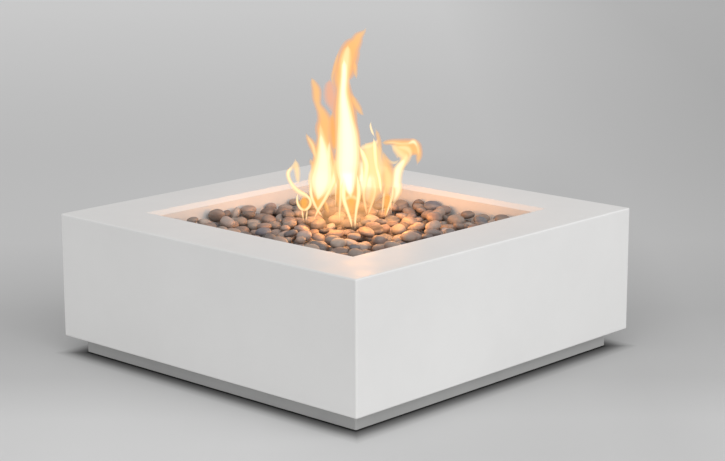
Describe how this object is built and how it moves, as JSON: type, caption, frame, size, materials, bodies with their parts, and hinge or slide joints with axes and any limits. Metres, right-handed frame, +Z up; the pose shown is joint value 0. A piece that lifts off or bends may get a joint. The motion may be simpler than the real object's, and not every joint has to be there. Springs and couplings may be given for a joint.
{
  "type": "gas fire table",
  "caption": "Low square cast-concrete gas fire table on a recessed plinth, with a ring burner under river pebbles, an access door and a recessed control panel.",
  "frame": {"origin": "on the floor, under the middle of the square table", "axes": "+Z up; front is -Y and left is -X, the two plain sides; the access door is in the +X side and the controls in the +Y side"},
  "size_m": [1.067, 1.067, 0.3815],
  "materials": {
    "white_concrete": "smooth sealed cast concrete, satin",
    "plinth_concrete": "cast concrete, matt",
    "black_rubber": "matt",
    "galvanised_sheet": "galvanised, satin",
    "zinc_screw": "zinc plated",
    "frame_paint": "black powder coat",
    "brushed_stainless": "brushed",
    "burner_steel": "heat-tinted stainless",
    "brass_fitting": "machined",
    "lava_rock": "rough broken rock",
    "river_pebble": "smooth matt, grey to brown",
    "stainless_screw": "stainless",
    "black_plastic": "moulded, matt",
    "white_paint": "gloss",
    "chrome_trim": "polished",
    "red_plastic": "gloss",
    "battery_can": "plain printed can",
    "white_ceramic": "unglazed",
    "hose_braid": "corrugated stainless",
    "wire_sleeve": "woven glass sleeve",
    "copper_lead": "bare copper",
    "white_powder_coat": "fine textured powder coat"
  },
  "bodies": {
    "table": {"concrete_shell": "white_concrete", "plinth_ring": "plinth_concrete", "foot_pads": "black_rubber", "base_tray": "galvanised_sheet", "tray_screws": "zinc_screw", "corner_post_front_left": "frame_paint", "corner_post_front_right": "frame_paint", "corner_post_rear_left": "frame_paint", "corner_post_rear_right": "frame_paint", "side_rail_left": "frame_paint", "side_rail_right": "frame_paint", "cross_bearer_front": "frame_paint", "cross_bearer_rear": "frame_paint", "post_bolts": "zinc_screw", "rail_bolts": "zinc_screw", "heat_shield": "galvanised_sheet", "shield_screws": "zinc_screw", "burner_pan": "brushed_stainless", "ring_burner": "burner_steel", "burner_nipple": "brass_fitting", "hub_lock_nut": "brass_fitting", "air_mixer": "burner_steel", "gas_orifice": "brass_fitting", "lava_fill": "lava_rock", "pebbles": "river_pebble", "control_niche": "brushed_stainless", "control_panel": "brushed_stainless", "panel_screws": "stainless_screw", "gas_valve": "brass_fitting", "igniter_module": "black_plastic", "igniter_nut": "chrome_trim", "igniter_battery": "battery_can", "gas_inlet_fitting": "brass_fitting", "inlet_nut": "brass_fitting", "electrode_bracket": "burner_steel", "electrode_insulator": "white_ceramic", "electrode_rod": "burner_steel", "thermocouple_probe": "burner_steel", "burner_hose": "hose_braid", "inlet_hose": "hose_braid", "electrode_wire": "wire_sleeve", "thermocouple_lead": "copper_lead", "hose_nuts": "brass_fitting", "hose_clip": "black_plastic", "door_frame": "brushed_stainless", "door_pins": "stainless_screw", "door_magnet": "frame_paint", "vent_grille_rear": "brushed_stainless", "vent_grille_side_front": "brushed_stainless", "vent_grille_side_back": "brushed_stainless", "vent_screws": "stainless_screw", "frame_screws": "stainless_screw"},
    "door": {"access_door": "white_powder_coat", "door_pull": "brushed_stainless", "door_strike": "zinc_screw"},
    "shaft": {"valve_shaft": "brass_fitting"},
    "knob": {"control_knob": "black_plastic", "knob_pointer": "white_paint"},
    "button": {"igniter_button": "red_plastic"}
  },
  "joints": [
    {"name": "door_swing", "type": "hinge", "parent": "table", "child": "door", "pos_m": [0.5245, -0.136, 0.145], "axis": [0, 0, -1], "range_deg": [0, 100]},
    {"name": "knob_turn", "type": "hinge", "parent": "table", "child": "shaft", "pos_m": [-0.215, 0.5, 0.145], "axis": [0, 1, 0], "range_deg": [0, 210]},
    {"name": "knob_push", "type": "slide", "parent": "shaft", "child": "knob", "axis": [0, -1, 0], "range_m": [0, 0.004], "stiffness_N_per_m": 800},
    {"name": "button_push", "type": "slide", "parent": "table", "child": "button", "axis": [0, -1, 0], "range_m": [0, 0.003], "stiffness_N_per_m": 600}
  ]
}
